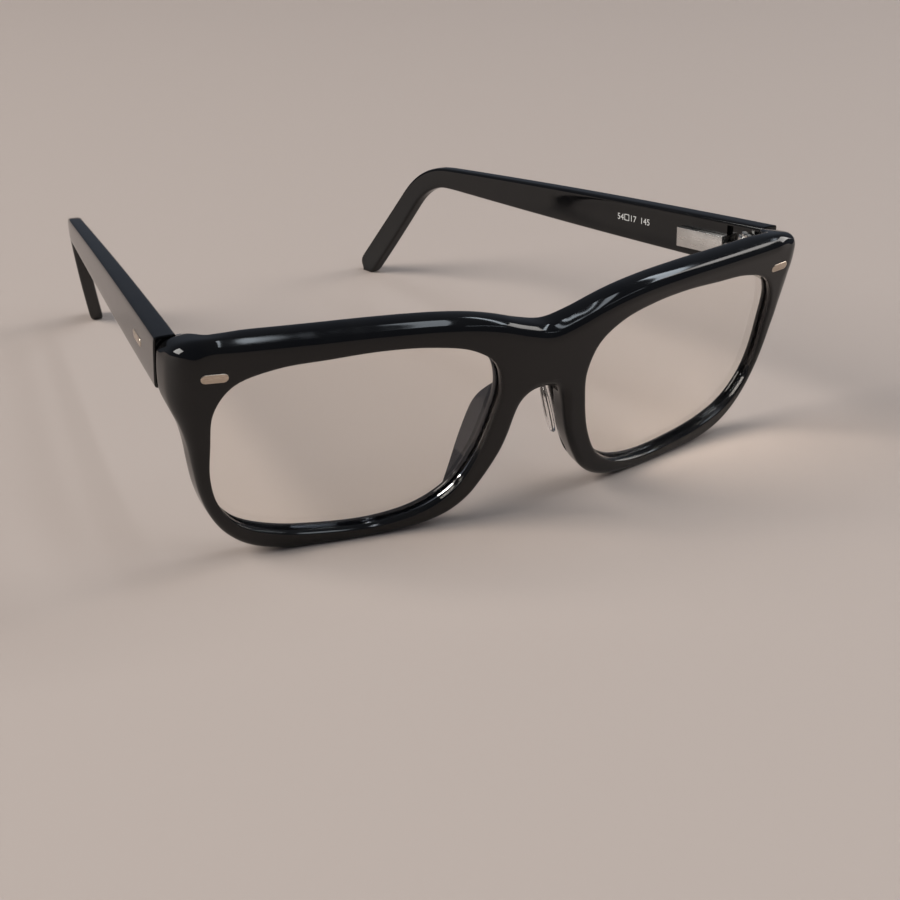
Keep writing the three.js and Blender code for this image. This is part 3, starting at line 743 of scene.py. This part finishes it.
def cut_away(piece, low, high, place, soft=0.0):
    """Mills a straight-sided pocket."""
    low, high = Vector(low), Vector(high)
    bpy.ops.object.select_all(action="DESELECT")
    bpy.ops.mesh.primitive_cube_add(size=1, location=(low + high) / 2, scale=high - low)
    bpy.ops.object.transform_apply()
    cutter = bpy.context.object
    if soft:
        modifier = cutter.modifiers.new("Round", "BEVEL")
        modifier.width = soft
        modifier.segments = 4
        apply_all(cutter)
    transformed(cutter, place)
    modifier = piece.modifiers.new("Pocket", "BOOLEAN")
    modifier.operation = "DIFFERENCE"
    modifier.solver = "EXACT"
    modifier.object = cutter
    apply_all(piece)
    bpy.data.objects.remove(cutter)


for side, name in ((1, "left"), (-1, "right")):
    arm = lofted(f"arm_{name}", arm_rings())
    transformed(arm, Matrix.Scale(side, 4, (1, 0, 0)) @ arm_place)
    subdivided(arm, 2)
    rested(arm)
    pocket_place = Matrix.Scale(side, 4, (1, 0, 0)) @ arm_place @ arm_slope
    cut_away(arm, *HINGE_POCKET, pocket_place)
    cut_away(arm, *HOUSING_POCKET, pocket_place, 0.5)
    pick(arm)
    bpy.ops.object.shade_smooth_by_angle(angle=math.radians(32))
    done(arm, f"{name}_temple", "acetate", acetate, f"temple_{name}")

# ---- the inlays in the arms -----------------------------------------------
# A longer bar of the same plated metal, let into each arm's outer face just
# behind the hinge and pressed flush.
ARM_BAR_LENGTH, ARM_BAR_THICKNESS = 7.0, 0.6
ARM_BAR_PLACE = 12              # from the hinge pin to its middle
for side, name in ((1, "left"), (-1, "right")):
    bar = inlay(f"arm_bar_{name}", ARM_BAR_LENGTH, BAR_HEIGHT, ARM_BAR_THICKNESS)
    turned = Matrix(((0, -1, 0, ARM_OUTER + 0.08), (1, 0, 0, ARM_BAR_PLACE), (0, 0, 1, HINGE_RISE),
                     (0, 0, 0, 1)))
    transformed(bar, Matrix.Scale(side, 4, (1, 0, 0)) @ arm_place @ arm_slope @ turned)
    done(bar, f"{name}_temple", "champagne", champagne, f"temple_inlay_{name}")

# ---- the size marking -----------------------------------------------------
# Lens width, bridge and arm length in millimetres, pad-printed in pale ink on
# the inner face of the left arm.
FIGURE_SIZE = 2.0
INK_THICKNESS = 0.01
MARKING_PLACE = 32.2            # from the hinge pin to its middle
ink = Finish("pale_ink", Base_Color=(0.62, 0.62, 0.6, 1))
ink.rough(ink.pattern(1500, 3), 0.4, 0.6)
bpy.ops.object.select_all(action="DESELECT")
bpy.ops.object.text_add()
marking = bpy.context.object
marking.name = "size_marking"
marking.data.body = "54\u25a117  145"
marking.data.size = FIGURE_SIZE
marking.data.extrude = INK_THICKNESS
marking.data.align_x = "CENTER"
pick(marking)
bpy.ops.object.convert(target="MESH")
marking = bpy.context.object
# Text is drawn in x and y: x runs forward along the arm and y up it.
lettering = Matrix(((0, 0, -1, 0), (-1, 0, 0, 0), (0, 1, 0, 0), (0, 0, 0, 1)))
for vertex in marking.data.vertices:
    place = lettering @ vertex.co
    vertex.co = (on_arm(ARM_OUTER - ARM_THICKNESS, MARKING_PLACE + place.y, place.z - 0.1)
                 + Vector((place.x - INK_THICKNESS, 0, 0)))
transformed(marking, arm_place)
done(marking, "left_temple", "silicone", ink)

# ---- floor, light and camera ----------------------------------------------
# A plain pale table top under long soft lamps on the ceiling, with a window
# on one side and a pale wall on the other. Seen from the wearer's right.
CEILING = 1.5
COOL, WARM, DAYLIGHT = (0.84, 0.92, 1.0), (1.0, 0.96, 0.92), (1.0, 0.97, 0.93)
CAMERA_PLACE = (-0.14290, -0.26868, 0.13312)
CAMERA_TURN, CAMERA_DIP, CAMERA_ROLL = -31.72, 26.10, 1.53      # in degrees
floor_finish = Finish("table_top", Base_Color=(0.47, 0.395, 0.35, 1), Roughness=0.6,
                      Specular_IOR_Level=0.2)
bpy.ops.object.select_all(action="DESELECT")
bpy.ops.mesh.primitive_plane_add(size=8, location=(0, 0, -0.0001))
floor = bpy.context.object
floor.name = "table"
floor.data.materials.append(floor_finish.material)


def lamp(name, place, target, width, length, power, colour, turn=0):
    """A soft rectangular lamp, aimed at a target and turned about its own axis."""
    light = bpy.data.lights.new(name, "AREA")
    light.shape = "RECTANGLE"
    light.size, light.size_y = width, length
    light.energy = power
    light.color = colour
    holder = bpy.data.objects.new(name, light)
    bpy.context.scene.collection.objects.link(holder)
    holder.location = place
    aim = (Vector(target) - Vector(place)).to_track_quat("-Z", "Y").to_matrix()
    holder.rotation_euler = (aim @ Matrix.Rotation(math.radians(turn), 3, "Z")).to_euler()


lamp("tube_left", (0.19, -0.7, CEILING), (0.19, -0.7, 0), 0.08, 1.8, 3.5, COOL, -7)
lamp("tube_middle", (0.57, -0.9, CEILING), (0.57, -0.9, 0), 0.24, 1.5, 5.5, COOL)
lamp("tube_right", (1.5, -0.1, CEILING), (1.5, -0.1, 0), 0.22, 1.5, 8, COOL, 26)
lamp("tube_bridge", (1.6, -1.8, CEILING), (1.6, -1.8, 0), 0.1, 1.2, 1.6, COOL, -55)
lamp("window", (-1.7, 0.5, 1.3), (0, 0, 0), 1.3, 1.3, 52, DAYLIGHT)
lamp("wall", (1.9, -0.3, 0.9), (0, 0, 0), 0.9, 0.9, 14, WARM)
world = bpy.data.worlds.new("room")
bpy.context.scene.world = world
world.use_nodes = True
world.node_tree.nodes["Background"].inputs["Color"].default_value = (0.125, 0.14, 0.17, 1)
world.node_tree.nodes["Background"].inputs["Strength"].default_value = 0.8

camera = bpy.data.objects.new("camera", bpy.data.cameras.new("camera"))
bpy.context.scene.collection.objects.link(camera)
camera.data.lens = 58.4
camera.data.sensor_width = 36
azimuth, elevation, roll = (math.radians(angle) for angle in (CAMERA_TURN, CAMERA_DIP, CAMERA_ROLL))
ahead = -Vector((math.sin(azimuth) * math.cos(elevation), -math.cos(azimuth) * math.cos(elevation),
                 math.sin(elevation)))
right = ahead.cross(Vector((0, 0, 1))).normalized()
up = right.cross(ahead)
right, up = (math.cos(roll) * right + math.sin(roll) * up, math.cos(roll) * up - math.sin(roll) * right)
camera.matrix_world = (Matrix.Translation(CAMERA_PLACE)
                       @ Matrix((right, up, -ahead)).transposed().to_4x4())
camera.data.clip_start = 0.01
bpy.context.scene.camera = camera
bpy.context.scene.view_settings.view_transform = "Standard"

bpy.context.view_layer.update()
